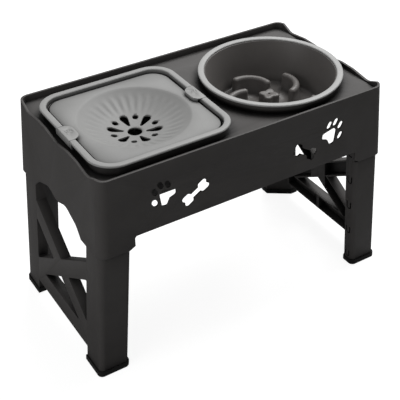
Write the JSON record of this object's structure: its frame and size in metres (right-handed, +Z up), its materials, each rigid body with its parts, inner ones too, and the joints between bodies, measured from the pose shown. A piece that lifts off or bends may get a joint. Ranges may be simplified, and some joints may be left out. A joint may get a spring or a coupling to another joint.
{
  "type": "elevated dog bowl stand",
  "caption": "Raised feeding stand on leaning end frames, with a square lift-out water bowl under a float plate and a round slow-feeder bowl; the frames slide to set the height.",
  "frame": {"origin": "on the floor, under the middle of the stand", "axes": "+X along the stand towards the round bowl, +Y to the back, away from the paw and bone openings, +Z up"},
  "size_m": [0.4668, 0.2396, 0.3058],
  "materials": {
    "stand_plastic": "satin, fine moulded grain",
    "frame_plastic": "satin, fine moulded grain",
    "foot_rubber": "matte",
    "bowl_plastic": "semi-gloss",
    "ring_plastic": "semi-gloss",
    "plate_plastic": "semi-gloss",
    "clip_plastic": "semi-gloss"
  },
  "bodies": {
    "stand": {"stand_top": "stand_plastic"},
    "left_frame": {"left_end_frame": "frame_plastic", "front_left_foot": "foot_rubber", "rear_left_foot": "foot_rubber"},
    "right_frame": {"right_end_frame": "frame_plastic", "front_right_foot": "foot_rubber", "rear_right_foot": "foot_rubber"},
    "water_bowl_body": {"water_bowl": "bowl_plastic"},
    "ring_body": {"water_bowl_ring": "ring_plastic"},
    "plate_body": {"float_plate": "plate_plastic"},
    "left_clip_body": {"left_ring_clip": "clip_plastic"},
    "right_clip_body": {"right_ring_clip": "clip_plastic"},
    "food_bowl_body": {"food_bowl": "bowl_plastic", "food_bowl_ring": "ring_plastic"}
  },
  "joints": [
    {"name": "left_frame_slide", "type": "slide", "parent": "stand", "child": "left_frame", "axis": [0.0837, 0, 0.9965], "range_m": [0, 0.046]},
    {"name": "right_frame_slide", "type": "slide", "parent": "stand", "child": "right_frame", "axis": [-0.0837, 0, 0.9965], "range_m": [0, 0.046]},
    {"name": "water_bowl_lift", "type": "slide", "parent": "stand", "child": "water_bowl_body", "axis": [0, 0, 1], "range_m": [0, 0.12]},
    {"name": "food_bowl_lift", "type": "slide", "parent": "stand", "child": "food_bowl_body", "axis": [0, 0, 1], "range_m": [0, 0.1]},
    {"name": "ring_lift", "type": "slide", "parent": "water_bowl_body", "child": "ring_body", "axis": [0, 0, 1], "range_m": [0, 0.06]},
    {"name": "float_plate_slide", "type": "slide", "parent": "water_bowl_body", "child": "plate_body", "axis": [0, 0, 1], "range_m": [-0.042, 0]},
    {"name": "left_clip_hinge", "type": "hinge", "parent": "ring_body", "child": "left_clip_body", "pos_m": [-0.20035, -0.006, 0.296], "axis": [0, -1, 0], "range_deg": [0, 70]},
    {"name": "right_clip_hinge", "type": "hinge", "parent": "ring_body", "child": "right_clip_body", "pos_m": [-0.00885, -0.006, 0.296], "axis": [0, 1, 0], "range_deg": [0, 70]}
  ]
}
